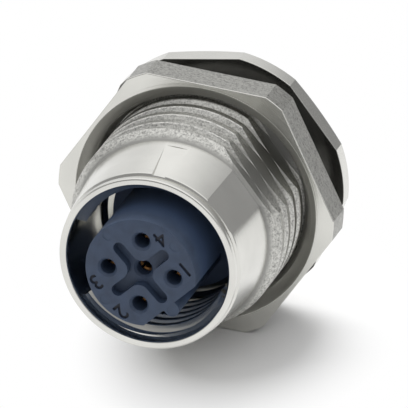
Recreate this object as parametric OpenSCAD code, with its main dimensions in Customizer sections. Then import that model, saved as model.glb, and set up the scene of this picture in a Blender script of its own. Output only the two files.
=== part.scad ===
// Flush-mounting circular socket, M12, A-coded, five contacts, for a panel hole.
// The plug axis lies along Y: the mating face looks towards -Y and the solder ends
// towards +Y. The origin is on the axis, in the flange face that meets the panel.
// Angles are seen from the mating side: 0 is +X and 90 is +Z.

/* [Housing] */
// Length from the rim to the panel face of the flange
front_l = 16.5; // [15.5:0.1:18]
// Diameter of the smooth wall of the cup
cup_d = 12.2; // [12.1:0.05:12.4]
// Width of the bevel that leads the plug into the cup
mouth_lead = 0.25; // [0.15:0.05:0.3]
// Wall of the rim outside that bevel
rim_wall = 0.35; // [0.25:0.05:0.5]
// Depth of the cup, from the rim to its floor
cup_l = 8.6; // [8:0.1:9]
// Inner diameter over the lands that carry the plug thread
land_d = 10.92; // [10.7:0.02:11.2]
// Angle that each threaded land covers
land_angle = 122; // [90:1:140]
// Distance from the end of the lands to the floor of the cup
land_end_gap = 2; // [1:0.1:3]
// Distance from the rim to the start of the panel thread
body_l = 6.5; // [6:0.1:7.2]
// Outer diameter of the panel thread
thread_d = 15.9; // [15.8:0.02:16]
// Pitch of the panel thread
thread_pitch = 1.5; // [1:0.25:1.5]
// Distance of the anti-rotation flat from the axis, along the thread
flat_r = 7.3; // [7.2:0.05:7.6]
// Width of the flat on the tapered front body
flat_w = 3.2; // [2:0.1:3.6]
// Diameter of the bore behind the cup
shell_bore_d = 12; // [11.6:0.1:12.2]

/* [Flange] */
// Flange size across flats
flange_af = 18.6; // [18:0.1:19]
// Diameter to which the flange corners are turned
flange_corner_d = 19.5; // [19.2:0.1:20.4]
// Flange thickness
flange_t = 1.5; // [1.2:0.1:3]
// Thickness of the cord of the panel seal
seal_cord_d = 1.2; // [1.1:0.05:1.3]
// Height of the panel seal above the flange face
seal_proud = 0.45; // [0.3:0.05:0.5]

/* [Lock nut] */
// Nut size across flats
nut_af = 19; // [18.8:0.1:20]
// Diameter to which the nut corners are turned
nut_corner_d = 21.1; // [20.4:0.1:21.6]
// Nut thickness
nut_t = 2.6; // [2.2:0.1:4]
// Gap between the nut and the flange face, where the panel goes
nut_gap = 2.5; // [0.65:0.05:3]
// Outer diameter of the wide countersink in the front of the nut
nut_sink_d = 18.4; // [17:0.1:18.6]
// Depth of that countersink
nut_sink_l = 0.9; // [0.4:0.1:1.2]

/* [Contact carrier] */
// Diameter of the carrier nose
nose_d = 8.35; // [8.2:0.05:8.4]
// How far the nose stands out of the rim
nose_proud = 1.6; // [0.5:0.1:2]
// Distance of the coding flat from the axis
key_flat_r = 3.2; // [3.1:0.05:3.5]
// Width of the coding nose on the coding flat
key_w = 1.1; // [0.8:0.1:1.4]
// Depth of the cross recess in the face
cross_depth = 0.8; // [0.4:0.1:1.1]
// Width of the arms of the cross recess
cross_w = 0.9; // [0.7:0.05:1.1]
// Reach of the arms of the cross recess
cross_r = 2.8; // [2.5:0.1:2.9]

/* [Back of the carrier] */
// Length of the wide part of the carrier, behind the cup
carrier_back_l = 3.6; // [3:0.1:3.8]
// Thickness of the disc that holds the contacts from behind
retainer_t = 1.8; // [1.2:0.1:2]
// Length of the press ring
ring_t = 1.4; // [1:0.1:1.6]
// Wall of the press ring
ring_w = 0.9; // [0.6:0.1:1.4]

/* [Contacts] */
// Pitch circle of the four outer contacts
contact_pcd = 5; // [4.9:0.05:5.1]
// Bore of a contact, for a 1 mm pin
contact_bore_d = 1.04; // [1:0.02:1.1]
// Outer diameter of the slotted end of a contact
contact_d = 1.6; // [1.5:0.05:1.66]
// Entry hole in the carrier face
entry_d = 1.16; // [1.1:0.02:1.3]
// Depth of the contact tip below the carrier face
tip_depth = 2; // [1.4:0.1:2.2]
// Length of the solder tail behind the flange
tail_l = 2.5; // [1:0.1:5]

/* [Hidden] */
$fn = 96;
eps = 0.05;

// named clearances, all on the radius or along the axis
running = 0.05;
seat_gap = 0.05;
slip = 0.1;

// stations along the plug axis, measured from the rim towards the back
flange_s = front_l;
back_s = front_l + flange_t;
face_s = -nose_proud;
web_t = 1.2;
web_s = cup_l;
step_s = web_s + web_t;
nut_back_s = flange_s - nut_gap;
nut_front_s = nut_back_s - nut_t;

// turned profile of the housing
nose_r = nose_d / 2;
cup_r = cup_d / 2;
mouth_r = cup_r + mouth_lead;
rim_r = mouth_r + rim_wall;
thread_r = thread_d / 2;
root_r = thread_r - 0.61 * thread_pitch;
thread_groove_r = thread_r - 0.54 * thread_pitch;
crest_l = thread_pitch / 8;
edge_break = 0.12;
floor_bevel = 0.3;
mouth_l = 0.6;
rim_l = 0.5;
groove_l = 0.3;
groove_depth = 0.2;
body_front_r = rim_r + edge_break;
body_back_r = root_r + 0.25;
lead_l = thread_r - body_back_r;
undercut_l = 1.0;
land_front_s = 0.9;
land_back_s = cup_l - land_end_gap;
land_centre_angle = -82;
flat_angle = 40;
mark_angle = 84;
mark_front_w = 1;
mark_back_w = 1.8;
mark_depth = 0.3;
mark_end_gap = 0.7;

// hexagons, turned as the socket lies
flange_angle = 9.5;
nut_angle = -2.5;
nut_bore_r = thread_r + running;
nut_back_lead = 0.3;

// panel seal, in a groove round the foot of the thread
seal_mid_r = root_r + seal_cord_d / 2 + seat_gap;
seal_groove_depth = seal_cord_d - seal_proud + seat_gap;
seal_groove_r = seal_mid_r + seal_cord_d / 2 + seat_gap;

// bore behind the web, and what is stacked in it
shell_bore_r = shell_bore_d / 2;
stack_r = shell_bore_r - running;
carrier_body_s = step_s + seat_gap;
carrier_back_s = step_s + carrier_back_l;
carrier_seal_d = 1;
shank_r = nose_r - 0.1;
carrier_seal_mid_r = shank_r + carrier_seal_d / 2 + seat_gap;
carrier_seal_s = carrier_body_s + carrier_seal_d / 2;
rib_w = 1.2;
rib_h = 0.45;
rib_angle = 135;
retainer_s = carrier_back_s + seat_gap;
ring_s = retainer_s + retainer_t + seat_gap;

// coding and moulding details of the nose
key_angle = -45;
cross_corner_r = 0.8;
pip_r = 0.4;
pip_circle_r = 3.6;
pip_depth = 0.04;

// contact chambers
contact_angles = [0, -90, 180, 90];
tip_s = face_s + tip_depth;
chamber_s = tip_s - 0.2;
chamber_r = contact_d / 2 + slip / 2;
entry_cone_r = entry_d / 2 + 0.17;
collar_r = contact_d / 2 + 0.3;
collar_l = 1.8;
collar_s = carrier_back_s - collar_l;
tail_r = 0.75;
bore_l = 7;
slot_w = 0.2;
slot_l = 4.5;
cup_bore_r = 0.5;
cup_bore_l = 2;

// stands a piece that is built along +Z (front at s = 0) on the plug axis
module on_axis() {
    translate([0, -flange_s, 0]) rotate([-90, 0, 0]) children();
}

// turns a piece on the plug axis to an angle seen from the mating side
module at_angle(angle) {
    rotate([0, 0, -angle]) children();
}

module hex_prism(across_flats, height) {
    cylinder(r = across_flats / 2 / cos(30), h = height, $fn = 6);
}

// ring segment between two radii, centred on the local X axis
module ring_sector(inner_r, outer_r, sector_angle, height) {
    rotate([0, 0, -sector_angle / 2]) rotate_extrude(angle = sector_angle)
        translate([inner_r, 0]) square([outer_r - inner_r, height]);
}

// ---- housing ----

// Rings in the place of the thread's turns: narrow crests and 60 degree grooves between them.
// The last crest runs out over the undercut in front of the flange.
function thread_rings() =
    let (flank_l = (thread_r - thread_groove_r) * tan(30),
        end_s = flange_s - undercut_l - (thread_r - root_r),
        groove_count = floor((end_s - body_l - crest_l) / thread_pitch))
    [[thread_r, body_l],
        for (turn = [1:groove_count])
            let (groove_s = body_l + crest_l + (turn - 1) * thread_pitch,
                next_s = body_l + turn * thread_pitch)
            for (p = [
                [thread_r, groove_s],
                [thread_groove_r, groove_s + flank_l],
                [thread_groove_r, next_s - flank_l],
                [thread_r, next_s]]) p,
        [thread_r, end_s]];

function housing_outline() = concat([
    [0, 0],
    [rim_r - edge_break, 0],
    [rim_r, edge_break],
    [rim_r, rim_l],
    [rim_r - groove_depth, rim_l + groove_l / 2],
    [body_front_r - edge_break, rim_l + groove_l],
    [body_front_r, rim_l + groove_l + edge_break],
    [body_back_r, body_l - lead_l]],
    thread_rings(), [
    [root_r, flange_s - undercut_l],
    [root_r, flange_s],
    [0, flange_s]]);

function housing_cavity() = [
    [0, -eps],
    [mouth_r + eps, -eps],
    [mouth_r, 0],
    [cup_r, mouth_l],
    [cup_r, web_s - floor_bevel],
    [cup_r - floor_bevel, web_s],
    [nose_r + slip, web_s],
    [nose_r + slip, step_s],
    [shell_bore_r, step_s],
    [shell_bore_r, back_s - floor_bevel],
    [shell_bore_r + floor_bevel, back_s],
    [shell_bore_r + floor_bevel, back_s + eps],
    [0, back_s + eps]];

// hexagon with its corners turned round and its rear edge broken
module flange_disc() {
    break_l = 0.25;
    at_angle(flange_angle) intersection() {
        hex_prism(flange_af, flange_t);
        rotate_extrude() polygon([
            [0, 0],
            [flange_corner_d / 2, 0],
            [flange_corner_d / 2, flange_t - break_l],
            [flange_corner_d / 2 - 2 * break_l, flange_t],
            [0, flange_t]]);
    }
}

module seal_groove() {
    rotate_extrude() translate([root_r, 0])
        square([seal_groove_r - root_r, seal_groove_depth + eps]);
}

// flat that stops the socket turning in a panel hole with a flat side
module anti_rotation_flat() {
    body_flat_front_r = sqrt(pow(body_front_r, 2) - pow(flat_w / 2, 2));
    body_flat_back_r = sqrt(pow(body_back_r, 2) - pow(flat_w / 2, 2));
    reach = thread_r + 1;
    at_angle(flat_angle) rotate([90, 0, 0]) linear_extrude(2 * reach, center = true)
        polygon([
            [body_flat_front_r, rim_l + groove_l],
            [body_flat_back_r, body_l - lead_l],
            [flat_r, body_l - lead_l / 2],
            [flat_r, flange_s - eps],
            [reach, flange_s - eps],
            [reach, rim_l + groove_l]]);
}

// arrow-shaped recess on the front body that shows how to turn the plug in
module alignment_mark() {
    mark_front_s = rim_l + groove_l;
    mark_back_s = body_l - lead_l - mark_end_gap;
    mark_l = mark_back_s - mark_front_s;
    slope = atan((body_back_r - body_front_r) / (body_l - lead_l - mark_front_s));
    at_angle(mark_angle) translate([body_front_r - mark_depth, 0, mark_front_s])
        rotate([0, slope, 0]) rotate([90, 0, 90]) linear_extrude(2) polygon([
            [-mark_front_w / 2, 0],
            [mark_front_w / 2, 0],
            [mark_back_w / 2, mark_l],
            [-mark_back_w / 2, mark_l]]);
}

// raised lands on the cup wall that carry the interrupted plug thread
module thread_lands() {
    for (turn = [0, 180])
        at_angle(land_centre_angle + turn) translate([0, 0, land_front_s])
            ring_sector(land_d / 2, cup_r + eps, land_angle, land_back_s - land_front_s);
}

module rib_slot() {
    at_angle(rib_angle) translate([0, -rib_w / 2 - slip, step_s])
        cube([shell_bore_r + rib_h + slip, rib_w + 2 * slip, back_s - step_s + eps]);
}

module housing() {
    color("gainsboro") on_axis() {
        difference() {
            union() {
                rotate_extrude() polygon(housing_outline());
                translate([0, 0, flange_s]) flange_disc();
            }
            rotate_extrude() polygon(housing_cavity());
            anti_rotation_flat();
            alignment_mark();
            rib_slot();
            translate([0, 0, flange_s - eps]) seal_groove();
        }
        thread_lands();
    }
}

// ---- lock nut and panel seal ----

// hexagon with its corners turned round
module nut_blank() {
    at_angle(nut_angle) intersection() {
        hex_prism(nut_af, nut_t);
        cylinder(d = nut_corner_d, h = nut_t);
    }
}

module lock_nut() {
    sink_slope = (nut_sink_d / 2 - nut_bore_r) / nut_sink_l;
    color("silver") on_axis() translate([0, 0, nut_front_s]) difference() {
        nut_blank();
        translate([0, 0, -eps]) cylinder(r = nut_bore_r, h = nut_t + 2 * eps);
        translate([0, 0, -eps]) cylinder(
            r1 = nut_sink_d / 2 + eps * sink_slope, r2 = nut_bore_r, h = nut_sink_l + eps);
        translate([0, 0, nut_t - nut_back_lead])
            cylinder(r1 = nut_bore_r, r2 = nut_bore_r + nut_back_lead + eps, h = nut_back_lead + eps);
    }
}

module flange_seal() {
    color("dimgray") on_axis() translate([0, 0, flange_s - seal_proud + seal_cord_d / 2])
        rotate_extrude() translate([seal_mid_r, 0]) circle(d = seal_cord_d, $fn = 32);
}

// ---- contact carrier ----

// cross with rounded inner corners, its arms between the contacts
module cross_outline() {
    half_w = cross_w / 2;
    corner_m = half_w + cross_corner_r;
    polygon([for (quarter = [0:3]) let (arm = [[cross_r, -half_w], [cross_r, half_w]],
            corner = [for (turn = [-90:-15:-180])
                [corner_m + cross_corner_r * cos(turn), corner_m + cross_corner_r * sin(turn)]],
            spin = 90 * quarter)
        for (p = concat(arm, corner))
            [p[0] * cos(spin) - p[1] * sin(spin), p[0] * sin(spin) + p[1] * cos(spin)]]);
}

// nose section: round, with the coding flat and the coding nose on it
module nose_outline() {
    intersection() {
        circle(nose_r);
        union() {
            translate([-nose_d, -nose_d]) square([nose_d + key_flat_r, 2 * nose_d]);
            translate([0, -key_w / 2]) square([nose_d, key_w]);
        }
    }
}

module at_contact(index) {
    place_r = index < 5 ? contact_pcd / 2 : 0;
    angle = index < 5 ? contact_angles[index - 1] : 0;
    at_angle(angle) translate([place_r, 0, 0]) children();
}

// stepped hole for one contact, with a cone that guides the pin
module contact_chamber(entry_s) {
    cone_l = 0.2;
    translate([0, 0, entry_s - eps]) cylinder(d = entry_d, h = chamber_s - entry_s + 2 * eps);
    translate([0, 0, entry_s - eps])
        cylinder(r1 = entry_cone_r + eps, r2 = entry_d / 2, h = cone_l + eps);
    translate([0, 0, chamber_s]) cylinder(r = chamber_r, h = carrier_back_s - chamber_s + eps);
    translate([0, 0, collar_s]) cylinder(r = collar_r + seat_gap, h = collar_l + eps);
}

module ejector_pips() {
    for (angle = [45, 135, 225, -45])
        at_angle(angle) translate([pip_circle_r, 0, face_s - eps])
            cylinder(r = pip_r, h = pip_depth + eps, $fn = 32);
}

module contact_carrier() {
    shank_s = web_s + seat_gap;
    shank_overlap = 0.3;
    shoulder_s = carrier_body_s + carrier_seal_d + seat_gap;
    color("darkslategray") on_axis() difference() {
        union() {
            translate([0, 0, face_s]) at_angle(key_angle)
                linear_extrude(shank_s + shank_overlap - face_s) nose_outline();
            rotate_extrude() polygon([
                [0, shank_s],
                [shank_r, shank_s],
                [shank_r, shoulder_s],
                [stack_r, shoulder_s],
                [stack_r, carrier_back_s],
                [0, carrier_back_s]]);
            at_angle(rib_angle) translate([0, -rib_w / 2, shoulder_s])
                cube([shell_bore_r + rib_h, rib_w, carrier_back_s - shoulder_s]);
        }
        translate([0, 0, face_s - eps]) at_angle(key_angle)
            linear_extrude(cross_depth + eps) cross_outline();
        for (index = [1:4]) at_contact(index) contact_chamber(face_s);
        at_contact(5) contact_chamber(face_s + cross_depth);
        ejector_pips();
    }
}

module carrier_seal() {
    color("black") on_axis() translate([0, 0, carrier_seal_s]) rotate_extrude()
        translate([carrier_seal_mid_r, 0]) circle(d = carrier_seal_d, $fn = 32);
}

// disc that closes the chambers from behind and holds the contact collars
module contact_retainer() {
    color("slategray") on_axis() difference() {
        union() {
            translate([0, 0, retainer_s]) cylinder(r = stack_r, h = retainer_t);
            at_angle(rib_angle) translate([0, -rib_w / 2, retainer_s])
                cube([shell_bore_r + rib_h, rib_w, retainer_t]);
        }
        for (index = [1:5]) at_contact(index) translate([0, 0, retainer_s - eps])
            cylinder(r = tail_r + seat_gap, h = retainer_t + 2 * eps);
    }
}

// press ring that closes the stack in the housing
module retaining_ring() {
    color("lightsteelblue") on_axis() translate([0, 0, ring_s]) difference() {
        cylinder(r = stack_r, h = ring_t);
        translate([0, 0, -eps]) cylinder(r = stack_r - ring_w, h = ring_t + 2 * eps);
    }
}

// ---- contacts ----

// turned contact: slotted socket in front, collar, and a solder cup behind
module socket_contact(index) {
    tail_end_s = back_s + tail_l;
    tip_round = 0.15;
    color("gold") on_axis() at_contact(index) difference() {
        rotate_extrude() polygon([
            [0, tip_s],
            [contact_d / 2 - tip_round, tip_s],
            [contact_d / 2, tip_s + tip_round],
            [contact_d / 2, collar_s],
            [collar_r, collar_s],
            [collar_r, collar_s + collar_l],
            [tail_r, collar_s + collar_l],
            [tail_r, tail_end_s],
            [0, tail_end_s]]);
        translate([0, 0, tip_s - eps]) cylinder(d = contact_bore_d, h = bore_l + eps);
        translate([0, 0, tip_s - eps])
            cylinder(r1 = contact_d / 2 - tip_round, r2 = contact_bore_d / 2, h = 0.2);
        for (turn = [0, 90]) rotate([0, 0, 45 + turn])
            translate([-contact_d, -slot_w / 2, tip_s - eps])
            cube([2 * contact_d, slot_w, slot_l + eps]);
        translate([0, 0, tail_end_s - cup_bore_l]) cylinder(r = cup_bore_r, h = cup_bore_l + eps);
        translate([0, -tail_r - eps, tail_end_s - cup_bore_l])
            cube([tail_r + eps, 2 * tail_r + 2 * eps, cup_bore_l + eps]);
    }
}

housing();
lock_nut();
flange_seal();
contact_carrier();
carrier_seal();
contact_retainer();
retaining_ring();
for (i = [1:5]) socket_contact(i);
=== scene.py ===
"""Shell, nut, contact carrier, finishes and studio of a round panel socket."""

import math

import bpy
import numpy as np
from bpy.props import FloatProperty, FloatVectorProperty, IntProperty, PointerProperty
from mathutils import Matrix, Vector


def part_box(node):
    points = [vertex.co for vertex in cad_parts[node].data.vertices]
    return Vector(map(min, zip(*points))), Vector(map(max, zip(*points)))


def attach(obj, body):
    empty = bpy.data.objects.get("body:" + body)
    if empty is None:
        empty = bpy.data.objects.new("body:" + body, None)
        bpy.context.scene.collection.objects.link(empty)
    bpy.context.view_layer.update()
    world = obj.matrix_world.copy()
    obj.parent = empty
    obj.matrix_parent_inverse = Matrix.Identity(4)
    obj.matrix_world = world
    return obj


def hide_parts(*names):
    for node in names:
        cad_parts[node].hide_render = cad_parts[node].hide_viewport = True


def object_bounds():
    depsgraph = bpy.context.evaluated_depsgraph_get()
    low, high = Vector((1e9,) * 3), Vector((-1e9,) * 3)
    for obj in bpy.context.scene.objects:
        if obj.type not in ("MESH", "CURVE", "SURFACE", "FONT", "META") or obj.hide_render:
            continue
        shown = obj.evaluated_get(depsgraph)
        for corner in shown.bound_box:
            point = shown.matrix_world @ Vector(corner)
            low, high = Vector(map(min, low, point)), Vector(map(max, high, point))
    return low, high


bl_info = {
    "name": "Round panel socket",
    "version": (1, 0, 0),
    "blender": (4, 5, 0),
    "location": "View3D > Sidebar > Socket",
    "description": "Threaded shell, lock nut, contact carrier and finishes of a panel socket",
    "category": "Object",
}

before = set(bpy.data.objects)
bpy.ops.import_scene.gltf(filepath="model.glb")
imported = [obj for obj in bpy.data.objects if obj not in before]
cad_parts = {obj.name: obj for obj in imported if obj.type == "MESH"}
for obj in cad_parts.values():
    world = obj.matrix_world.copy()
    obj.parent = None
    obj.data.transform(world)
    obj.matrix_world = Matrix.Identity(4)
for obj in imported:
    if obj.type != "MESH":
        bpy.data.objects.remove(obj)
SOLIDS_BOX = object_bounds()
SHELL_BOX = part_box("housing")
NUT_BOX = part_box("lock_nut")
CARRIER_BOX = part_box("contact_carrier")

# Places in metres, from the solids.
MM = 0.001
RIM_Y = float(SHELL_BOX[0][1])
FACE_Y = float(CARRIER_BOX[0][1])
FLOOR_Z = float(SOLIDS_BOX[0][2])


def behind_rim(y):
    """How far a place along the plug axis lies behind the rim, in millimetres."""
    return float(y - SHELL_BOX[0][1]) / MM


# Stations behind the rim and fixed sizes, in millimetres.
SHELL_L = behind_rim(SHELL_BOX[1][1])
NUT_FRONT = behind_rim(NUT_BOX[0][1])
NUT_BACK = behind_rim(NUT_BOX[1][1])
FACE_S = behind_rim(CARRIER_BOX[0][1])
CARRIER_BACK = behind_rim(CARRIER_BOX[1][1])
CHAMBER_S = behind_rim(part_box("socket_contact_1")[0][1]) - 0.2

COLUMNS = 240  # steps round a turned piece
RIM_L = 0.8  # rim, with the line behind it
UNDERCUT_L = 1.0  # undercut between the thread and the flange
SEAL_GROOVE_R = 8.335
SEAL_GROOVE_L = 0.8
FLANGE_BEVEL = 0.25
WEB_T = 1.2  # web behind the cup, with the hole for the carrier
WEB_HOLE_R = 4.275
BORE_R = 6.0  # bore behind the web
BORE_BEVEL = 0.3
LAND_S = 0.9  # start of the threaded lands
LAND_GAP = 2.0  # from their end to the cup floor
LAND_BEVEL = 0.4
LAND_GROOVE = 0.12  # how far the grooves of the lands stay off the cup wall
PLUG_PITCH = 1.0
RIB_ANGLE = math.radians(135)  # direction of the carrier's rib, away from its coding nose
CARRIER_SEAT = 8.59  # where the base of the nose meets the cup floor
SHOULDER_S = 10.9  # start of the wide part of the carrier
WIDE_R = 5.95
COLLAR_L = 1.8  # room for the collar of a contact
COLLAR_R = 1.15
CHAMBER_R = 0.85
# Places of the contact numbers, across and up from the axis.
NUMERALS = {"1": (3.36, 0.84), "2": (-1.32, -3.36), "3": (-3.3, -1.34), "4": (1.45, 2.93)}

# Where the nickel changes, in millimetres from the axis and along it from the panel face.
OUTSIDE_R = 6.2
GRAIN_R = 7.0
GRAIN_FRONT = -10.7
GRAIN_BACK = -1.0


# ---- sizes and colours that a user would change ----


def millimetres(name, value, description):
    return FloatProperty(
        name=name, description=description, default=value * MM, unit="LENGTH", precision=5
    )


def degrees(name, value, description):
    return FloatProperty(
        name=name, description=description, default=math.radians(value), subtype="ANGLE"
    )


def colour(name, value, description):
    return FloatVectorProperty(
        name=name, description=description, default=value, size=3, subtype="COLOR",
        min=0.0, max=1.0,
    )


class ShellSizes(bpy.types.PropertyGroup):
    """Sizes of the turned shell."""

    cup_r: millimetres("Cup radius", 6.1, "Radius of the smooth wall of the cup")
    cup_l: millimetres("Cup depth", 8.6, "Depth of the cup behind the rim")
    mouth_r: millimetres("Mouth radius", 6.24, "Radius of the rounding at the mouth of the cup")
    rim_r: millimetres("Rim radius", 6.7, "Outer radius of the rim")
    front_r: millimetres("Front radius", 6.82, "Radius of the tapered body at its front")
    waist_r: millimetres("Waist radius", 7.285, "Radius of the tapered body at the thread")
    body_l: millimetres("Body length", 6.5, "Distance from the rim to the full thread")
    crest_r: millimetres("Crest radius", 7.95, "Crest radius of the panel thread")
    root_r: millimetres("Root radius", 7.3, "Root radius of the panel thread")
    pitch: millimetres("Pitch", 1.5, "Pitch of the panel thread")
    foot_r: millimetres("Undercut radius", 7.035, "Radius of the undercut in front of the flange")
    flat_r: millimetres("Flat distance", 7.3, "Distance of the milled flat from the axis")
    flat_w: millimetres("Facet width", 3.2, "Width of the milled facet on the tapered body")
    flat_angle: degrees("Flat direction", 40, "Direction of the milled flat")
    mark_angle: degrees("Mark direction", 87, "Direction of the alignment mark")
    mark_depth: millimetres("Mark depth", 0.3, "Depth of the alignment mark")
    land_r: millimetres("Land radius", 5.46, "Crest radius of the plug thread in the cup")
    land_span: degrees("Land span", 122, "Angle that each threaded land covers")
    land_angle: degrees("Land direction", 98, "Middle of the upper threaded land")
    flange_af: millimetres("Flange width", 18.6, "Flange size across flats")
    flange_corner_r: millimetres("Flange corners", 9.75, "Radius of the turned flange corners")
    flange_angle: degrees("Flange turn", 9.5, "How far the flange is turned")
    flange_l: millimetres("Flange place", 16.5, "Distance from the rim to the panel face")
    columns: IntProperty(name="Columns", description="Steps round the shell", default=COLUMNS)


class NutSizes(bpy.types.PropertyGroup):
    """Sizes of the lock nut."""

    across: millimetres("Width", 19, "Nut size across flats")
    corner_r: millimetres("Corner radius", 10.55, "Radius of the turned nut corners")
    turn: degrees("Turn", -2.5, "How far the nut is turned")
    sink_r: millimetres("Countersink radius", 9.2, "Outer radius of the countersink in its front")
    sink_l: millimetres("Countersink depth", 0.9, "Depth of that countersink")
    bore_r: millimetres("Bore radius", 8.0, "Radius over the crests of the nut's own thread")
    groove_r: millimetres("Groove radius", 8.34, "Radius of the grooves of its thread")
    pitch: millimetres("Pitch", 1.5, "Pitch of its thread")
    edge: millimetres("Edge", 0.06, "Rounding of the outer edges")


class CarrierSizes(bpy.types.PropertyGroup):
    """Sizes of the contact carrier."""

    nose_r: millimetres("Nose radius", 4.175, "Radius of the nose")
    edge: millimetres("Edge", 0.07, "Rounding of the front edge of the nose")
    flat_r: millimetres("Flat distance", 3.2, "Distance of the coding flat from the axis")
    key_w: millimetres("Key width", 1.1, "Width of the coding nose on the flat")
    key_angle: degrees("Key direction", -45, "Direction of the coding nose")
    cross_w: millimetres("Arm width", 0.9, "Width of the arms of the cross recess")
    cross_r: millimetres("Arm reach", 2.8, "Reach of the arms of the cross recess")
    cross_depth: millimetres("Cross depth", 0.8, "Depth of the cross recess")
    corner_r: millimetres("Corner radius", 0.8, "Radius of the inner corners of the cross")
    contact_r: millimetres("Contact circle", 2.5, "Radius of the circle of the outer contacts")
    entry_r: millimetres("Entry radius", 0.58, "Radius of the entry holes")
    cone: millimetres("Entry cone", 0.17, "Width of the cone round each entry hole")
    pip_r: millimetres("Mark radius", 0.4, "Radius of the ejector marks")
    pip_circle_r: millimetres("Mark circle", 3.6, "Radius of the circle of ejector marks")
    pip_depth: millimetres("Mark depth", 0.025, "Depth of the ejector marks")
    numeral_h: millimetres("Numeral height", 1.15, "Height of the contact numbers")
    numeral_depth: millimetres("Numeral depth", 0.16, "Depth of the contact numbers")
    base_r: millimetres("Base radius", 5.3, "Radius of the thin base of the nose in the cup")
    base_l: millimetres("Base thickness", 0.3, "Thickness of that base")
    numeral_widen: millimetres("Numeral weight", 0.025, "How far the strokes are widened")
    numeral_angle: degrees("Numeral turn", -45, "Direction in which the numbers stand up")


class FinishColours(bpy.types.PropertyGroup):
    """Colours of the finishes, with painted light and painted shade."""

    nickel: colour("Nickel", (0.74, 0.735, 0.70), "Nickel plating of the shell")
    nickel_nut: colour("Nut nickel", (0.72, 0.715, 0.675), "Nickel plating of the nut")
    carrier: colour("Carrier", (0.034, 0.054, 0.098), "Moulded plastic of the contact carrier")
    # Painted light: a lighter, bluer copy of the carrier plastic for its sides deep in the cup and
    # its holes.
    carrier_painted_light: colour("Carrier sides", (0.055, 0.090, 0.175), "The plastic deep in the cup")
    # Painted shade: a near-black colour for the floors of the sunk numbers.
    numeral: colour("Numeral", (0.008, 0.011, 0.022), "Floor of the contact numbers")
    gold: colour("Gold", (0.85, 0.60, 0.36), "Plating of the contacts")
    rubber: colour("Rubber", (0.025, 0.025, 0.024), "Rubber of the seals")


class StudioSettings(bpy.types.PropertyGroup):
    """Where the camera stands and its lens."""

    lens: FloatProperty(
        name="Lens", description="Focal length in millimetres", default=1147.0
    )
    target: FloatVectorProperty(
        name="Target", description="Point that the camera looks at", size=3,
        subtype="TRANSLATION", unit="LENGTH", default=(0.001269, -0.007125, 0.001022),
    )
    distance: millimetres("Distance", 946, "Distance from the camera to its target")
    azimuth: degrees("Azimuth", 16.89, "How far round the camera stands")
    elevation: degrees("Elevation", 24.62, "How high the camera stands")
    roll: degrees("Roll", 2.27, "How far the camera is rolled")


# ---- helpers for modelling ----


def deselect_all():
    for other in bpy.context.selected_objects:
        other.select_set(False)


def make_active(piece):
    deselect_all()
    piece.select_set(True)
    bpy.context.view_layer.objects.active = piece


def in_edit_mode(piece, *steps):
    """Run edit steps on the whole of a piece."""
    make_active(piece)
    bpy.ops.object.mode_set(mode="EDIT")
    bpy.ops.mesh.select_all(action="SELECT")
    for step in steps:
        step()
    bpy.ops.object.mode_set(mode="OBJECT")


def clean_mesh(piece, gap=2e-6):
    """Merge what lies together, drop what has no area, and point all faces outwards."""
    in_edit_mode(
        piece,
        lambda: bpy.ops.mesh.remove_doubles(threshold=gap),
        lambda: bpy.ops.mesh.dissolve_degenerate(threshold=gap / 10),
        lambda: bpy.ops.mesh.normals_make_consistent(inside=False),
    )


def get_points(mesh):
    points = np.empty(len(mesh.vertices) * 3, np.float32)
    mesh.vertices.foreach_get("co", points)
    return points.reshape(-1, 3)


def set_points(mesh, points):
    mesh.vertices.foreach_set("co", np.ascontiguousarray(points, np.float32).ravel())
    mesh.update()


def ring_points(radius, angle, station):
    """Points round the plug axis, at a station behind the rim, from millimetres."""
    x = radius * np.cos(angle)
    z = radius * np.sin(angle)
    return np.stack([x * MM, RIM_Y + station * MM, z * MM], axis=-1)


def wrapped_skin(name, angles, rows):
    """A closed ring: a grid whose columns stand at the angles and whose rows go once round
    the section, with its edges joined to each other both ways."""
    radii = np.array([np.broadcast_to(r, angles.shape) for r, s in rows])
    stations = np.array([np.broadcast_to(s, angles.shape) for r, s in rows])
    columns, count = len(angles) - 1, len(rows)
    deselect_all()
    bpy.ops.mesh.primitive_grid_add(x_subdivisions=columns, y_subdivisions=count, size=1)
    piece = bpy.context.object
    piece.name = name
    plan = get_points(piece.data)
    column = np.rint((plan[:, 0] + 0.5) * columns).astype(int)
    row = np.rint((plan[:, 1] + 0.5) * count).astype(int) % count
    set_points(piece.data, ring_points(radii[row, column], angles[column], stations[row, column]))
    clean_mesh(piece)
    return piece


def prism(name, outline, place, depth):
    """A block with a flat outline: a filled circle whose corners are moved to the outline,
    then extruded. place turns (across, along, out) millimetres into a point."""
    deselect_all()
    bpy.ops.mesh.primitive_circle_add(vertices=len(outline), radius=1, fill_type="NGON")
    piece = bpy.context.object
    piece.name = name
    set_points(piece.data, np.array([place(a, b, depth[0]) for a, b in outline]))
    step = place(0, 0, depth[1]) - place(0, 0, depth[0])
    in_edit_mode(
        piece,
        lambda: bpy.ops.mesh.extrude_region_move(TRANSFORM_OT_translate={"value": step}),
        lambda: bpy.ops.mesh.select_all(action="SELECT"),
        lambda: bpy.ops.mesh.normals_make_consistent(inside=False),
    )
    settle(piece)
    return piece


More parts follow.
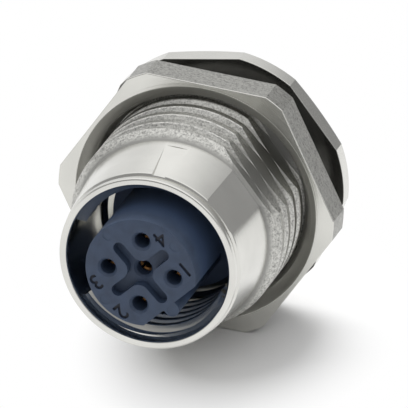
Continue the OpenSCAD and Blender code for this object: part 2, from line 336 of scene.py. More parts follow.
def turned_plug(name, centre, rows, steps=72):
    """A closed turned block from (radius, station) rows, with its axis along the plug axis
    through the centre (x, z), in millimetres."""
    deselect_all()
    bpy.ops.mesh.primitive_grid_add(x_subdivisions=steps, y_subdivisions=len(rows) - 1, size=1)
    piece = bpy.context.object
    piece.name = name
    plan = get_points(piece.data)
    angles = (plan[:, 0] + 0.5) * math.tau
    row = np.rint((plan[:, 1] + 0.5) * (len(rows) - 1)).astype(int)
    radii, stations = np.array(rows, float).T
    points = ring_points(radii[row], angles, stations[row])
    points += np.array([centre[0] * MM, 0, centre[1] * MM])
    set_points(piece.data, points)
    in_edit_mode(
        piece,
        lambda: bpy.ops.mesh.remove_doubles(threshold=2e-6),
        lambda: bpy.ops.mesh.fill_holes(sides=0),
        lambda: bpy.ops.mesh.select_all(action="SELECT"),
        lambda: bpy.ops.mesh.normals_make_consistent(inside=False),
    )
    return piece


def settle(piece):
    """Put a piece's place into its mesh."""
    make_active(piece)
    bpy.ops.object.transform_apply(location=True, rotation=True, scale=True)


def cut(piece, cutter, operation="DIFFERENCE"):
    """Cut one closed piece with another, which is used up."""
    make_active(piece)
    tool = piece.modifiers.new("cut", "BOOLEAN")
    tool.operation = operation
    tool.solver = "MANIFOLD"
    tool.object = cutter
    before = len(piece.data.polygons), len(piece.data.vertices)
    bpy.ops.object.modifier_apply(modifier=tool.name)
    after = len(piece.data.polygons), len(piece.data.vertices)
    if not piece.data.polygons or after == before:
        raise RuntimeError("%s: the %s cut did nothing" % (piece.name, cutter.name))
    bpy.data.objects.remove(cutter)


def smooth(piece, angle):
    """Shade a piece smooth, apart from edges sharper than the angle, in degrees."""
    make_active(piece)
    bpy.ops.object.shade_smooth_by_angle(angle=math.radians(angle))


def in_mm(sizes, *names):
    """Some of a group's sizes by name, in millimetres."""
    return {name: getattr(sizes, name) / MM for name in names}


def on_circle(radius, angle):
    """A point round the axis, as (across, up)."""
    return radius * math.cos(angle), radius * math.sin(angle)


def at_direction(angle):
    """Where a cutter's own (across, along, out) point lies: out from the axis at an angle,
    along it behind the rim, and across to the left as seen from the front."""
    out = Vector((math.cos(angle), 0, math.sin(angle)))
    across = Vector((-math.sin(angle), 0, math.cos(angle)))

    def place(side, station, height):
        return (across * side + out * height) * MM + Vector((0, RIM_Y + station * MM, 0))

    return place


def dress(piece, body, slot, finish, *stands_for):
    """Give a finished piece its material and its body, and hide the solids it stands for. Its slot
    argument is not used.
    """
    piece.data.materials.clear()
    piece.data.materials.append(finish)
    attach(piece, body)
    if stands_for:
        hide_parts(*stands_for)


def dress_solid(node, finish):
    """Give a solid that stays in view its material."""
    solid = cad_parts[node]
    solid.data.materials.clear()
    solid.data.materials.append(finish)


# ---- sections ----


RIDGE_STEPS = (-0.21, -0.16, 0.16, 0.21, 0.41, 0.46, 0.54, 0.59)


def ridge(phase):
    """Height of a thread ridge with a worn crest, 1 at the crest and 0 at the root, by phase
    in turns. Its corners lie at RIDGE_STEPS."""
    away = np.abs((phase + 0.5) % 1.0 - 0.5)
    return np.interp(away, [0, 0.16, 0.21, 0.41, 0.46, 0.5], [1, 1, 0.91, 0.09, 0, 0])


def helix_rows(angles, pitch, start, end, fixed, radius_at):
    """Rows along a threaded stretch. They follow the helix, stop at both ends, and take in
    the fixed stations, in order, so that turned edges stay round."""
    turns = angles / math.tau
    first = math.floor(start / pitch) - 2
    last = math.ceil(end / pitch) + 1
    rows = [(k + step + turns) * pitch for k in range(first, last) for step in RIDGE_STEPS]
    rows += [np.full(angles.shape, station) for station in (start, end, *fixed)]
    stations = np.sort(np.clip(np.array(rows), start, end), axis=0)
    return [(radius_at(angles, station), station) for station in stations]


def hexagon_radius(angles, across, turn=0.0):
    """Distance from the axis to the side of a hexagon, by direction."""
    local = (angles - turn) % math.radians(60) - math.radians(30)
    return across / 2 / np.cos(local)


def hexagon_marks(across, reach, turn):
    """Directions at which a circle of the given reach crosses a hexagon, and its corners."""
    off = math.degrees(math.acos(across / 2 / reach)) if reach > across / 2 else 0.0
    marks = []
    for flat in range(30, 390, 60):
        marks += [flat + turn - off, flat + turn + off, flat + turn + 30]
    return [mark % 360 for mark in marks]


def ring_columns(count, marks=(), doubled=()):
    """Directions of the columns in degrees, from 0 to 360. Marks are hit exactly, and each
    doubled one comes twice, for a step. Even ones that would crowd them are left out."""
    exact = sorted(set(round(m, 4) for m in [*marks, *doubled]))
    gap = 360 / count / 3
    even = [
        a for a in np.linspace(0, 360, count + 1)
        if a in (0, 360) or all(abs(a - m) > gap for m in exact)
    ]
    return np.array(sorted([*even, *exact, *[round(d, 4) for d in doubled]]))


# ---- finishes ----


class Wire:
    """A value in a node tree, so that shader sums read as ordinary sums."""

    def __init__(self, finish, socket):
        self.finish = finish
        self.socket = socket

    def maths(self, operation, first, second):
        made = self.finish.node("ShaderNodeMath", {0: first, 1: second}, operation=operation)
        return Wire(self.finish, made.outputs[0])

    def __add__(self, other):
        return self.maths("ADD", self, other)

    def __radd__(self, other):
        return self.maths("ADD", other, self)

    def __sub__(self, other):
        return self.maths("SUBTRACT", self, other)

    def __rsub__(self, other):
        return self.maths("SUBTRACT", other, self)

    def __mul__(self, other):
        return self.maths("MULTIPLY", self, other)

    def __rmul__(self, other):
        return self.maths("MULTIPLY", other, self)

    def __pow__(self, other):
        return self.maths("POWER", self, other)

    def __ge__(self, other):
        return self.maths("GREATER_THAN", self, other)


class Finish:
    """The node tree of a material or world while it is put together."""

    def __init__(self, owner):
        owner.use_nodes = True
        self.owner = owner
        self.tree = owner.node_tree
        self.tree.nodes.clear()

    def node(self, kind, values=None, stops=None, **settings):
        made = self.tree.nodes.new(kind)
        for name, value in settings.items():
            setattr(made, name, value)
        if stops:
            ramp = made.color_ramp
            while len(ramp.elements) < len(stops):
                ramp.elements.new(0.5)
            for element, (position, grey) in zip(ramp.elements, stops):
                element.position = position
                element.color = (grey, grey, grey, 1)
        for key, value in (values or {}).items():
            socket = made.inputs[key]
            if isinstance(value, Wire):
                self.tree.links.new(value.socket, socket)
            else:
                socket.default_value = value
        return made

    def wire(self, kind, output, values=None, **settings):
        return Wire(self, self.node(kind, values, **settings).outputs[output])

    def position(self):
        """Place on the piece, in millimetres."""
        place = self.wire("ShaderNodeTexCoord", "Object")
        return self.wire("ShaderNodeMapping", "Vector", {"Vector": place, "Scale": (1 / MM,) * 3})

    def split(self, vector):
        made = self.node("ShaderNodeSeparateXYZ", {0: vector})
        return [Wire(self, out) for out in made.outputs]

    def join(self, x, y, z):
        return self.wire("ShaderNodeCombineXYZ", 0, {0: x, 1: y, 2: z})

    def noise(self, vector, scale, detail=2.0, rough=0.5):
        return self.wire(
            "ShaderNodeTexNoise", 0,
            {"Vector": vector, "Scale": scale, "Detail": detail, "Roughness": rough},
        )

    def ramp(self, value, *stops):
        return self.wire("ShaderNodeValToRGB", "Color", {0: value}, stops=stops)

    def blend(self, factor, first, second):
        return self.wire(
            "ShaderNodeMix", 2, {0: factor, 6: first, 7: second}, data_type="RGBA"
        )

    def bump(self, height, distance, strength=1.0, under=None):
        values = {"Height": height, "Distance": distance, "Strength": strength}
        if under is not None:
            values["Normal"] = under
        return self.wire("ShaderNodeBump", 0, values)

    def facing(self, heading, way):
        """How far a direction points one way, from -1 to 1."""
        return self.wire(
            "ShaderNodeVectorMath", "Value", {0: heading, 1: tuple(Vector(way).normalized())},
            operation="DOT_PRODUCT",
        )

    def surface(self, values):
        shader = self.node("ShaderNodeBsdfPrincipled", values)
        out = self.node("ShaderNodeOutputMaterial")
        self.tree.links.new(shader.outputs[0], out.inputs[0])
        return self.owner


def shade(rgb, gain=1.0):
    return tuple(min(1.0, c * gain) for c in rgb) + (1.0,)


def new_finish(name):
    return Finish(bpy.data.materials.new(name))


def turned_nickel(name, rgb, grainy, lines=1.0, dim=0.85, painted_recess_shade=False, sunk_r=0.0):
    """Nickel over turned brass: fine tool lines round the axis and a faint bloom, brighter in
    the cup. grainy takes the place along the axis and the radius, in millimetres, and says
    where the metal is rough and speckled, and dim how bright it is there. With
    painted_recess_shade, shade is painted into the grooves of the thread, the middle of the
    milled flat, and the panel face of the flange in the narrow gap behind the nut. Inside the
    radius sunk_r the metal is satin."""
    make = new_finish(name)
    place = make.position()
    x, y, z = make.split(place)
    radius = (x * x + z * z) ** 0.5
    rough_part = grainy(y, radius)
    outside = radius >= OUTSIDE_R
    satin = 0.28 * (1.0 - (radius >= sunk_r)) if sunk_r else 0.0
    tool = make.noise(make.join(y * 5, radius * 5, x * 0.1), 1.0, 2, 0.6)
    speckle = make.noise(place, 7.0, 4, 0.75)
    cloud = make.noise(place, 0.35, 2, 0.5)
    line_depth = 0.000003 * lines
    grain_depth = 0.000022
    fine = make.bump(tool, line_depth)
    rough = make.bump(speckle * (rough_part + 0.08), grain_depth, under=fine)
    bright = make.blend(make.ramp(cloud, (0.3, 0.0), (0.7, 1.0)), shade(rgb, 0.92), shade(rgb))
    streak = make.noise(make.join(x * 2.5, y * 9, z * 2.5), 1.0, 3, 0.7)
    patch = make.ramp(speckle * 0.6 + streak * 0.4, (0.37, 0.0), (0.55, 1.0))
    dull = make.blend(patch, shade(rgb, 0.34 * dim), shade(rgb, 1.05 * dim))
    # Painted shade: where the metal is grainy, everything nearer than 7.65 mm to the axis, fully
    # from 7.35 mm in, is darkened; this is the grooves of the thread and the middle of the milled
    # flat.
    if painted_recess_shade:
        groove = make.ramp(radius * 0.1, (0.735, 1.0), (0.765, 0.0))
        dull = make.blend(groove, dull, shade(rgb, 0.42))
    base = make.blend(rough_part, bright, dull)
    # Painted shade: the panel face of the flange outside the seal groove, in the narrow gap behind
    # the nut, is darkened.
    if painted_recess_shade:
        painted_gap_shade = (radius >= SEAL_GROOVE_R - 0.035) * (y >= -0.08) * (1.0 - (y >= 0.03))
        base = make.blend(painted_gap_shade, base, shade(rgb, 0.2))
    return make.surface({
        "Base Color": base,
        "Metallic": 1.0,
        "Roughness": 0.11 + 0.05 * outside + 0.08 * tool + 0.14 * rough_part + satin,
        "Normal": rough,
    })


def moulded_plastic(name, rgb, painted_light_rgb=None, gloss=0.5):
    """Glass-filled plastic: a fine spark-eroded grain and slightly uneven colour. Where
    painted_light_rgb is given, the plastic from about 1 mm behind the face on, on the sides of
    the nose and down the holes, is painted in that lighter colour: painted light where the
    lamps reach little."""
    make = new_finish(name)
    place = make.position()
    grain = make.noise(place, 9.0, 4, 0.65)
    mottle = make.noise(place, 1.1, 2, 0.5)
    base = make.blend(make.ramp(mottle, (0.3, 0.0), (0.7, 1.0)), shade(rgb, 0.86), shade(rgb, 1.12))
    # Painted light: from about 1 mm behind the face, the colour turns to the lighter
    # painted_light_rgb.
    if painted_light_rgb:
        x, y, z = make.split(place)
        behind = make.ramp((y - FACE_Y / MM) * 0.1, (0.09, 0.0), (0.26, 1.0))
        base = make.blend(behind, base, shade(painted_light_rgb))
    return make.surface({
        "Base Color": base,
        "Roughness": gloss + 0.16 * grain,
        "Normal": make.bump(grain, 0.000004),
        "Specular IOR Level": 0.5,
    })


def seal_rubber(name, rgb):
    """Moulded seal rubber: matte, with a dusty bloom."""
    make = new_finish(name)
    place = make.position()
    grain = make.noise(place, 7.0, 5, 0.7)
    dust = make.noise(place, 0.8, 2, 0.5)
    base = make.blend(make.ramp(dust, (0.35, 0.0), (0.75, 1.0)), shade(rgb), shade(rgb, 1.9))
    return make.surface({
        "Base Color": base,
        "Roughness": 0.6 + 0.25 * grain,
        "Normal": make.bump(grain, 0.00001),
    })


def gold_plating(name, rgb):
    """Thin gold over turned contacts, with drawn-looking tool lines."""
    make = new_finish(name)
    place = make.position()
    x, y, z = make.split(place)
    tool = make.noise(make.join(x * 2, y * 14, z * 2), 1.0, 3, 0.6)
    cloud = make.noise(place, 2.0, 2, 0.5)
    base = make.blend(make.ramp(cloud, (0.3, 0.0), (0.7, 1.0)), shade(rgb, 0.8), shade(rgb))
    return make.surface({
        "Base Color": base,
        "Metallic": 1.0,
        "Roughness": 0.22 + 0.16 * tool,
        "Normal": make.bump(tool, 0.000003),
    })


# ---- operators: one for each piece or group of like pieces, and one for the stage ----


class SOCKET_OT_shell(bpy.types.Operator):
    """Make the turned shell: rim, cup with threaded lands, tapered body, thread and flange"""

    bl_idname = "socket.make_shell"
    bl_label = "Make shell"

    def execute(self, context):
        size = context.scene.socket_shell
        mm = in_mm(
            size, "cup_r", "cup_l", "mouth_r", "rim_r", "front_r", "waist_r", "body_l",
            "crest_r", "root_r", "pitch", "foot_r", "flat_r", "flat_w", "mark_depth", "land_r",
            "flange_af", "flange_corner_r", "flange_l",
        )
        upper = math.degrees(size.land_angle)
        half = math.degrees(size.land_span) / 2
        land_edges = [(upper + side * half + turn) % 360 for turn in (0, 180) for side in (-1, 1)]
        turn = math.degrees(size.flange_angle)
        marks = hexagon_marks(mm["flange_af"], mm["flange_corner_r"], turn)
        around = ring_columns(size.columns, marks, land_edges)
        angles = np.radians(around)
        on_land = self.land_mask(around, land_edges, upper, half)

        rows = self.rim_rows(mm)
        lead = mm["body_l"] - (mm["crest_r"] - mm["waist_r"])
        rows += self.thread_rows(mm, angles, lead)
        rows += self.flange_rows(mm, angles, size.flange_angle)
        rows += self.cup_rows(mm, angles, on_land)
        shell = wrapped_skin("shell", angles, rows)
        cut(shell, self.flat_cutter(mm, size.flat_angle, lead))
        cut(shell, self.mark_cutter(mm, size.mark_angle, lead))
        cut(shell, self.key_slot_cutter(mm))
        smooth(shell, angle=8)

        # Below zero in the bore behind the web, so the nickel is smoothest there.
        def on_thread(along, radius):
            return (along >= GRAIN_FRONT) * (radius >= GRAIN_R) - (along >= GRAIN_BACK)

        colours = context.scene.socket_finish
        # painted_recess_shade paints shade into the thread grooves, the milled flat and the gap
        # behind the nut.
        finish = turned_nickel("shell_nickel", colours.nickel, on_thread, painted_recess_shade=True)
        dress(shell, "socket", "nickel", finish, "housing")
        return {"FINISHED"}

    @staticmethod
    def land_mask(around, edges, upper, half):
        """Which columns lie on a threaded land. A doubled column lies once on each side."""
        near = 1e-3

        def within(angle, reach):
            return any(
                abs((angle - centre + 180) % 360 - 180) < reach for centre in (upper, upper + 180)
            )

        mask = np.zeros(len(around), bool)
        for index, angle in enumerate(around):
            inside = within(angle, half - near)
            if any(abs(angle - edge) < near for edge in edges):
                first = index + 1 < len(around) and abs(around[index + 1] - angle) < near
                before = within(angle - 0.5, half)
                inside = before if first else not before
            mask[index] = inside
        return mask

    @staticmethod
    def rim_rows(mm):
        """The rim, with rounded lips, the groove behind it, and the front of the body."""
        rim, front = mm["rim_r"], mm["front_r"]
        return [
            (mm["cup_r"] + 0.02, 0.12),
            (mm["mouth_r"] - 0.05, 0.03),
            (mm["mouth_r"], 0.0),
            (rim - 0.14, 0.0),
            (rim - 0.06, 0.03),
            (rim - 0.015, 0.075),
            (rim, 0.15),
            (rim, 0.42),
            (rim - 0.03, 0.48),
            (rim - 0.27, 0.56),
            (rim - 0.27, 0.70),
            (front - 0.10, RIM_L),
            (front - 0.03, 0.83),
            (front, 0.92),
        ]

    @staticmethod
    def thread_rows(mm, angles, lead):
        end = mm["flange_l"] - UNDERCUT_L

        def radius_at(turn, station):
            phase = station / mm["pitch"] - turn / math.tau
            tall = mm["root_r"] + (mm["crest_r"] - mm["root_r"]) * ridge(phase)
            lead_in = mm["waist_r"] + (station - lead)
            run_out = mm["foot_r"] + (end - station)
            return np.minimum(np.minimum(tall, lead_in), run_out)

        taper = [(mm["waist_r"], lead)]
        fixed = (mm["body_l"], end - (mm["crest_r"] - mm["foot_r"]))
        return taper + helix_rows(angles, mm["pitch"], lead, end, fixed, radius_at)

    @staticmethod
    def flange_rows(mm, angles, turn):
        """Undercut, seal groove, the hexagon with turned corners, its rear bevel and the bore."""
        front, back = mm["flange_l"], SHELL_L
        corner, half = mm["flange_corner_r"], mm["flange_af"] / 2
        side = np.minimum(hexagon_radius(angles, mm["flange_af"], turn), corner)
        edge = 0.05
        bevel = FLANGE_BEVEL
        foot = mm["foot_r"]
        floor = mm["cup_l"]
        return [
            (foot, front - UNDERCUT_L),
            (foot, front + SEAL_GROOVE_L),
            (SEAL_GROOVE_R, front + SEAL_GROOVE_L),
            (SEAL_GROOVE_R, front),
            (side - edge, front),
            (side, front + edge),
            (side, back - bevel + (corner - side) * bevel / (corner - half)),
            (np.minimum(side, half), back),
            (BORE_R + BORE_BEVEL, back),
            (BORE_R, back - BORE_BEVEL),
            (BORE_R, floor + WEB_T),
            (WEB_HOLE_R, floor + WEB_T),
            (WEB_HOLE_R, floor),
            (mm["cup_r"] - BORE_BEVEL, floor),
            (mm["cup_r"], floor - BORE_BEVEL),
        ]

    @staticmethod
    def cup_rows(mm, angles, on_land):
        """The cup wall from the floor to the mouth, with the interrupted plug thread."""
        start = LAND_S
        end = mm["cup_l"] - LAND_GAP
        groove = mm["cup_r"] - LAND_GROOVE
        steep = 1.6
        mouth_s = 0.62

        def radius_at(turn, station):
            phase = station / PLUG_PITCH - turn / math.tau
            tall = groove - (groove - mm["land_r"]) * ridge(phase)
            slope = mm["cup_r"] - np.minimum(station - start, end - station) * steep
            tall = np.maximum(tall, slope)
            return np.where(on_land, tall, mm["cup_r"])

        fixed = (start + LAND_BEVEL, end - LAND_BEVEL)
        rows = helix_rows(angles, PLUG_PITCH, start, end, fixed, radius_at)
        return rows[::-1] + [(mm["cup_r"], mouth_s)]

    @staticmethod
    def flat_cutter(mm, angle, lead):
        """Takes the facet off the tapered body and the flat off the thread."""
        place = at_direction(angle)
        half = mm["flat_w"] / 2
        low = math.sqrt(mm["front_r"] ** 2 - half**2)
        high = math.sqrt(mm["waist_r"] ** 2 - half**2)
        step = 0.33
        end = mm["flange_l"] - 0.05
        clear_r = 9.5
        reach = 9
        outline = [
            (low, RIM_L),
            (high, lead),
            (mm["flat_r"], lead + step),
            (mm["flat_r"], end),
            (clear_r, end),
            (clear_r, RIM_L),
        ]

        def across(out, along, side):
            return place(side, along, out)

        return prism("flat", outline, across, (-reach, reach))

    @staticmethod
    def mark_cutter(mm, angle, lead):
        """Takes the tapered alignment mark off the body; it runs out towards the thread."""
        place = at_direction(angle)
        start = RIM_L
        end = lead - 0.7
        front_half, back_half = 0.5, 0.9
        slope = (mm["waist_r"] - mm["front_r"]) / (lead - start)
        slope += 0.85 * mm["mark_depth"] / (end - start)
        floor_r = mm["front_r"] - mm["mark_depth"]

        def sunk(side, along, height):
            return place(side, along, floor_r + height + (along - start) * slope)

        outline = [
            (-front_half, start),
            (front_half, start),
            (back_half, end),
            (-back_half, end),
        ]
        return prism("mark", outline, sunk, (0, 2))

    @staticmethod
    def key_slot_cutter(mm):
        """Slot in the bore for the rib of the carrier."""
        half = 0.7
        floor_r = 6.55
        start = mm["cup_l"] + WEB_T
        end = SHELL_L + 0.1
        outline = [(-half, start), (half, start), (half, end), (-half, end)]
        return prism("slot", outline, at_direction(RIB_ANGLE), (3, floor_r))


class SOCKET_OT_lock_nut(bpy.types.Operator):
    """Make the lock nut: hexagon with turned corners, wide countersink and threaded bore"""

    bl_idname = "socket.make_lock_nut"
    bl_label = "Make lock nut"

    def execute(self, context):
        size = context.scene.socket_nut
        across = size.across / MM
        corner = size.corner_r / MM
        sink = size.sink_r / MM
        turn = math.degrees(size.turn)
        angles = np.radians(ring_columns(COLUMNS, hexagon_marks(across, corner, turn)))
        side = np.minimum(hexagon_radius(angles, across, size.turn), corner)
        edge = size.edge / MM
        outside = [
            (sink, NUT_FRONT),
            (side - edge, NUT_FRONT),
            (side - edge * 0.3, NUT_FRONT + edge * 0.3),
            (side, NUT_FRONT + edge),
            (side, NUT_BACK - edge),
            (side - edge * 0.3, NUT_BACK - edge * 0.3),
            (side - edge, NUT_BACK),
        ]
        nut = wrapped_skin("lock_nut_body", angles, outside + self.bore_rows(size, angles))
        smooth(nut, angle=10)
        front_y = float(NUT_BOX[0][1]) / MM

        def on_sides(along, radius):
            return (radius >= sink + 0.1) * (along >= front_y + 0.1)

        colours = context.scene.socket_finish
        finish = turned_nickel(
            "nut_nickel", colours.nickel_nut, on_sides, lines=2.4, dim=0.6, sunk_r=sink + 0.05
        )
        dress(nut, "nut", "nickel_nut", finish, "lock_nut")
        return {"FINISHED"}

    @staticmethod
    def bore_rows(size, angles):
        """The threaded bore from the back to the countersink in the front."""
        bore = size.bore_r / MM
        groove = size.groove_r / MM
        sink = size.sink_r / MM
        depth = size.sink_l / MM
        pitch = size.pitch / MM
        start, end = NUT_FRONT, NUT_BACK
        back_lead = 0.3

        def radius_at(turn, station):
            tall = bore + (groove - bore) * ridge(station / pitch - turn / math.tau)
            front = bore + (sink - bore) * (1 - (station - start) / depth)
            back = bore + back_lead - (end - station)
            return np.maximum(tall, np.maximum(front, back))

        fixed = (start + depth, end - back_lead)
        return helix_rows(angles, pitch, start, end, fixed, radius_at)[::-1]


class SOCKET_OT_carrier(bpy.types.Operator):
    """Make the contact carrier: coded nose, cross recess, contact chambers and numbers"""

    bl_idname = "socket.make_carrier"
    bl_label = "Make contact carrier"

    def execute(self, context):
        size = context.scene.socket_carrier
        mm = in_mm(
            size, "nose_r", "edge", "flat_r", "key_w", "cross_w", "cross_r", "cross_depth",
            "corner_r", "contact_r", "entry_r", "cone", "pip_r", "pip_circle_r", "pip_depth",
            "base_r", "base_l",
        )
        carrier = self.turned_body(mm)
        for side in (-1, 1):
            cut(carrier, self.flat_cutter(mm, size.key_angle, side))
        cut(carrier, self.cross_cutter(mm, size.key_angle))
        for turn in range(0, 360, 90):
            centre = on_circle(mm["contact_r"], math.radians(turn))
            cut(carrier, self.chamber_cutter(mm, centre, FACE_S))
            centre = on_circle(mm["pip_circle_r"], math.radians(turn + 45))
            mark = [(mm["pip_r"], FACE_S - 0.2), (mm["pip_r"], FACE_S + mm["pip_depth"])]
            cut(carrier, turned_plug("mark", centre, mark))
        cut(carrier, self.chamber_cutter(mm, (0, 0), FACE_S + mm["cross_depth"]))
        widen = size.numeral_widen / MM
        for numeral, (x, z) in NUMERALS.items():
            for side in (-widen, widen):
                for rise in (-widen, widen):
                    cut(carrier, self.numeral_cutter(size, numeral, x + side, z + rise))
        smooth(carrier, angle=32)
        colours = context.scene.socket_finish
        # The carrier plastic turns to the painted-light colour behind its face.
        dress(carrier, "socket", "carrier_plastic",
              moulded_plastic("carrier_plastic", colours.carrier, colours.carrier_painted_light),
              "contact_carrier")
        # Painted shade: the floors of the sunk numbers get a near-black plastic.
        carrier.data.materials.append(moulded_plastic("numeral_painted_shade", colours.numeral))
        floor_y = FACE_Y + size.numeral_depth
        for face in carrier.data.polygons:
            if abs(face.center.y - floor_y) < 1e-6 and abs(face.normal.y) > 0.9:
                face.material_index = 1
        return {"FINISHED"}

    @staticmethod
    def turned_body(mm):
        """Nose with its base, shank, and the wide part behind the web, with its rib."""
        nose, edge = mm["nose_r"], mm["edge"]
        shank = nose - 0.1
        base_s = CARRIER_SEAT - mm["base_l"]
        rows = [
            (nose - edge, FACE_S),
            (nose - edge * 0.3, FACE_S + edge * 0.3),
            (nose, FACE_S + edge),
            (nose, base_s),
            (mm["base_r"], base_s),
            (mm["base_r"], CARRIER_SEAT),
            (shank, CARRIER_SEAT),
            (shank, SHOULDER_S),
            (WIDE_R, SHOULDER_S),
            (WIDE_R, CARRIER_BACK),
        ]
        body = turned_plug("carrier", (0, 0), rows, steps=180)
        half = 0.6
        top_r = 6.45
        outline = [
            (-half, SHOULDER_S),
            (half, SHOULDER_S),
            (half, CARRIER_BACK),
            (-half, CARRIER_BACK),
        ]
        cut(body, prism("rib", outline, at_direction(RIB_ANGLE), (5, top_r)), "UNION")
        return body

    @staticmethod
    def flat_cutter(mm, angle, side):
        """Takes the coding flat off the nose, on one side of the rounded coding nose."""
        place = at_direction(angle)
        half = mm["key_w"] / 2
        tip = mm["nose_r"] - 0.12 - half
        key = [
            (side * half * math.cos(t), tip + half * math.sin(t))
            for t in np.radians(np.arange(0, 91, 15))
        ]
        clear, wide = 6, side * 5
        outline = [
            (side * half, mm["flat_r"]),
            *key,
            (0, clear),
            (wide, clear),
            (wide, mm["flat_r"]),
        ]

        def across(a, b, station):
            return place(a, station, b)

        return prism("flat", outline, across, (FACE_S - 1, CARRIER_SEAT - mm["base_l"]))

    @staticmethod
    def cross_cutter(mm, angle):
        """A cross with rounded inner corners, its arms between the contacts."""
        place = at_direction(angle)
        half, round_r, reach = mm["cross_w"] / 2, mm["corner_r"], mm["cross_r"]
        outline = []
        for quarter in range(4):
            spin = quarter * math.pi / 2
            arm = [
                (reach - half + half * math.cos(t), half * math.sin(t))
                for t in np.radians(np.arange(-90, 91, 18))
            ]
            arm += [
                (half + round_r * (1 + math.cos(t)), half + round_r * (1 + math.sin(t)))
                for t in np.radians(np.arange(-90, -181, -10))
            ]
            outline += [
                (a * math.cos(spin) - b * math.sin(spin), a * math.sin(spin) + b * math.cos(spin))
                for a, b in arm
            ]

        def across(a, b, station):
            return place(a, station, b)

        clear = 0.5
        return prism("cross", outline, across, (FACE_S - clear, FACE_S + mm["cross_depth"]))

    @staticmethod
    def chamber_cutter(mm, centre, entry_s):
        """One contact chamber, with the cone that guides the pin and room for the collar."""
        entry, cone = mm["entry_r"], mm["cone"]
        cone_l = 0.2
        over = 0.1
        return turned_plug("chamber", centre, [
            (entry + cone + over, entry_s - over),
            (entry + cone, entry_s),
            (entry, entry_s + cone_l),
            (entry, CHAMBER_S),
            (CHAMBER_R, CHAMBER_S),
            (CHAMBER_R, CARRIER_BACK - COLLAR_L),
            (COLLAR_R, CARRIER_BACK - COLLAR_L),
            (COLLAR_R, CARRIER_BACK + over),
        ])

    @staticmethod
    def numeral_cutter(size, numeral, x, z):
        """One contact number as a closed block that reaches into the face."""
        deselect_all()
        bpy.ops.object.text_add(location=(0, 0, 0))
        text = bpy.context.object
        text.data.body = numeral
        text.data.align_x = "CENTER"
        text.data.align_y = "CENTER"
        text.data.size = 1.0
        text.data.resolution_u = 6
        text.data.extrude = 0.5
        make_active(text)
        bpy.ops.object.convert(target="MESH")
        text = bpy.context.object
        clean_mesh(text, 1e-5)
        points = get_points(text.data)
        low, high = points.min(0), points.max(0)
        points = (points - (low + high) / 2) * (size.numeral_h / (high[1] - low[1]))
        up = Vector((math.cos(size.numeral_angle), 0, math.sin(size.numeral_angle)))
        right = Vector((math.sin(size.numeral_angle), 0, -math.cos(size.numeral_angle)))
        clear = 0.0002
        depth = np.where(points[:, 2] > 0, -clear, size.numeral_depth)
        placed = np.outer(points[:, 0], right) + np.outer(points[:, 1], up)
        placed += np.array([x * MM, FACE_Y, z * MM])
        placed[:, 1] += depth
        set_points(text.data, placed)
        clean_mesh(text, 1e-7)
        return text


class SOCKET_OT_contacts(bpy.types.Operator):
    """Plate the five contacts"""

    bl_idname = "socket.finish_contacts"
    bl_label = "Finish contacts"

    def execute(self, context):
        finish = gold_plating("contact_gold", context.scene.socket_finish.gold)
        for index in range(1, 6):
            dress_solid("socket_contact_%d" % index, finish)
        return {"FINISHED"}


class SOCKET_OT_seals(bpy.types.Operator):
    """Give the panel seal and the carrier seal their rubber"""

    bl_idname = "socket.finish_seals"
    bl_label = "Finish seals"

    def execute(self, context):
        finish = seal_rubber("seal_rubber", context.scene.socket_finish.rubber)
        for node in ("flange_seal", "carrier_seal"):
            dress_solid(node, finish)
        return {"FINISHED"}


class SOCKET_OT_rear(bpy.types.Operator):
    """Finish the contact retainer and the press ring at the back"""

    bl_idname = "socket.finish_rear"
    bl_label = "Finish back"

    def execute(self, context):
        colours = context.scene.socket_finish
        dress_solid("contact_retainer", moulded_plastic("retainer_plastic", colours.carrier))

        def nowhere(along, radius):
            return radius * 0

        finish = turned_nickel("ring_nickel", colours.nickel, nowhere)
        dress_solid("retaining_ring", finish)
        return {"FINISHED"}


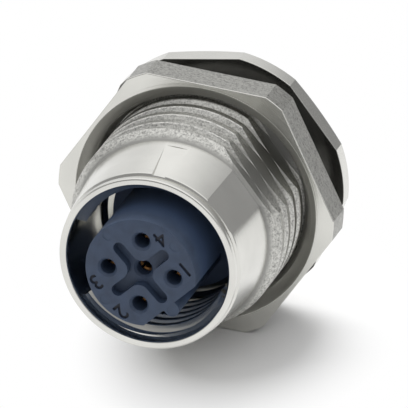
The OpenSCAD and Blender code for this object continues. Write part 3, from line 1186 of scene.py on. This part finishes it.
class SOCKET_OT_stage(bpy.types.Operator):
    """Set the floor, the backdrop, the lamps and the camera"""

    bl_idname = "socket.set_stage"
    bl_label = "Set stage"

    def execute(self, context):
        scene = context.scene
        scene.view_settings.view_transform = "Standard"
        self.make_floor()
        self.make_world(scene)
        self.add_lamp(
            "top", place=(-0.12, 0.20, 0.32), target=(0, -0.008, 0), size=0.36, energy=1.25
        )
        self.add_camera(scene)
        return {"FINISHED"}

    @staticmethod
    def make_floor():
        deselect_all()
        bpy.ops.mesh.primitive_plane_add(size=4.0, location=(0, 0, FLOOR_Z))
        floor = bpy.context.object
        floor.name = "floor"
        in_edit_mode(floor, lambda: bpy.ops.mesh.subdivide(number_cuts=3))
        settle(floor)
        make = new_finish("pale_floor")
        x, y, z = make.split(make.position())
        centre_x, centre_y = 4, -5
        stretch = 0.6
        across = x - centre_x
        along = (y - centre_y) * stretch
        away = (across * across + along * along) ** 0.5
        far = make.ramp(away * 0.01, (0.05, 0.0), (0.115, 1.0))
        path = make.node("ShaderNodeLightPath")
        seen = Wire(make, path.outputs["Is Camera Ray"]) + Wire(make, path.outputs["Is Glossy Ray"])
        seen = seen + Wire(make, path.outputs["Is Transmission Ray"])
        matte = make.node("ShaderNodeBsdfDiffuse", {"Color": (0.8, 0.8, 0.8, 1)})
        glow = make.node("ShaderNodeEmission", {"Color": (1, 1, 1, 1), "Strength": 1.0})
        mix = make.node("ShaderNodeMixShader", {0: far * seen})
        make.tree.links.new(matte.outputs[0], mix.inputs[1])
        make.tree.links.new(glow.outputs[0], mix.inputs[2])
        out = make.node("ShaderNodeOutputMaterial")
        make.tree.links.new(mix.outputs[0], out.inputs[0])
        floor.data.materials.append(make.owner)

    @staticmethod
    def make_world(scene):
        """White behind the object; for the metal, a pale studio that darkens at the back right."""
        world = bpy.data.worlds.new("studio")
        scene.world = world
        make = Finish(world)
        heading = make.wire("ShaderNodeTexCoord", "Generated")
        toward = make.facing(heading, (0.66, 0.75, -0.15))
        front = make.facing(heading, (0, -1, 0))
        above = make.facing(heading, (0, 0, 1))
        side = make.ramp(toward, (0.25, 0.9), (0.6, 0.66), (0.86, 0.40), (0.95, 0.26), (1.0, 0.1))
        ahead = make.ramp(front, (0.0, 1.0), (0.5, 0.38))
        high = make.ramp(above, (0.42, 0.0), (0.58, 1.0))
        lid = make.ramp(toward, (0.42, 1.0), (0.72, 0.55))
        tone = side * ahead * (1.0 - high) + 1.12 * lid * high
        path = make.node("ShaderNodeLightPath")
        seen = Wire(make, path.outputs["Is Camera Ray"])
        sky = make.blend(seen, make.join(tone, tone, tone), (1, 1, 1, 1))
        back = make.node("ShaderNodeBackground", {"Color": sky, "Strength": 1.0})
        out = make.node("ShaderNodeOutputWorld")
        make.tree.links.new(back.outputs[0], out.inputs[0])

    @staticmethod
    def add_lamp(name, place, target, size, energy):
        lamp = bpy.data.lights.new(name, "AREA")
        lamp.shape = "DISK"
        lamp.size = size
        lamp.energy = energy
        holder = bpy.data.objects.new(name, lamp)
        holder.location = place
        way = Vector(target) - Vector(place)
        holder.rotation_euler = way.to_track_quat("-Z", "Y").to_euler()
        holder.visible_glossy = False
        bpy.context.scene.collection.objects.link(holder)

    @staticmethod
    def add_camera(scene):
        studio = scene.socket_studio
        level = math.cos(studio.elevation)
        back = Vector((math.sin(studio.azimuth) * level, -math.cos(studio.azimuth) * level,
                       math.sin(studio.elevation)))
        right = Vector((0, 0, 1)).cross(back).normalized()
        up = back.cross(right)
        tilted = right * math.cos(studio.roll) + up * math.sin(studio.roll)
        upright = back.cross(tilted)
        lens = bpy.data.cameras.new("camera")
        lens.lens = studio.lens
        lens.sensor_width = 36
        lens.clip_start = 0.05
        lens.clip_end = 20
        camera = bpy.data.objects.new("camera", lens)
        turn = Matrix((tilted, upright, back)).transposed()
        place = Vector(studio.target) + back * studio.distance
        camera.matrix_world = Matrix.Translation(place) @ turn.to_4x4()
        scene.collection.objects.link(camera)
        scene.camera = camera


class SOCKET_PT_panel(bpy.types.Panel):
    """Lists the steps in their order"""

    bl_label = "Round panel socket"
    bl_idname = "SOCKET_PT_panel"
    bl_space_type = "VIEW_3D"
    bl_region_type = "UI"
    bl_category = "Socket"

    def draw(self, context):
        for step in STEPS:
            self.layout.operator(step.bl_idname)
        for group in GROUPS:
            box = self.layout.box()
            values = getattr(context.scene, group)
            for name in values.__annotations__:
                box.prop(values, name)


STEPS = (
    SOCKET_OT_shell,
    SOCKET_OT_lock_nut,
    SOCKET_OT_carrier,
    SOCKET_OT_contacts,
    SOCKET_OT_seals,
    SOCKET_OT_rear,
    SOCKET_OT_stage,
)
GROUPS = {
    "socket_shell": ShellSizes,
    "socket_nut": NutSizes,
    "socket_carrier": CarrierSizes,
    "socket_finish": FinishColours,
    "socket_studio": StudioSettings,
}


def register():
    for group in GROUPS.values():
        bpy.utils.register_class(group)
    for step in STEPS:
        bpy.utils.register_class(step)
    bpy.utils.register_class(SOCKET_PT_panel)
    for name, group in GROUPS.items():
        setattr(bpy.types.Scene, name, PointerProperty(type=group))


def unregister():
    for name in GROUPS:
        delattr(bpy.types.Scene, name)
    bpy.utils.unregister_class(SOCKET_PT_panel)
    for step in reversed(STEPS):
        bpy.utils.unregister_class(step)
    for group in reversed(list(GROUPS.values())):
        bpy.utils.unregister_class(group)


def main():
    register()
    bpy.ops.socket.make_shell()
    bpy.ops.socket.make_lock_nut()
    bpy.ops.socket.make_carrier()
    bpy.ops.socket.finish_contacts()
    bpy.ops.socket.finish_seals()
    bpy.ops.socket.finish_rear()
    bpy.ops.socket.set_stage()


if __name__ == "__main__":
    main()
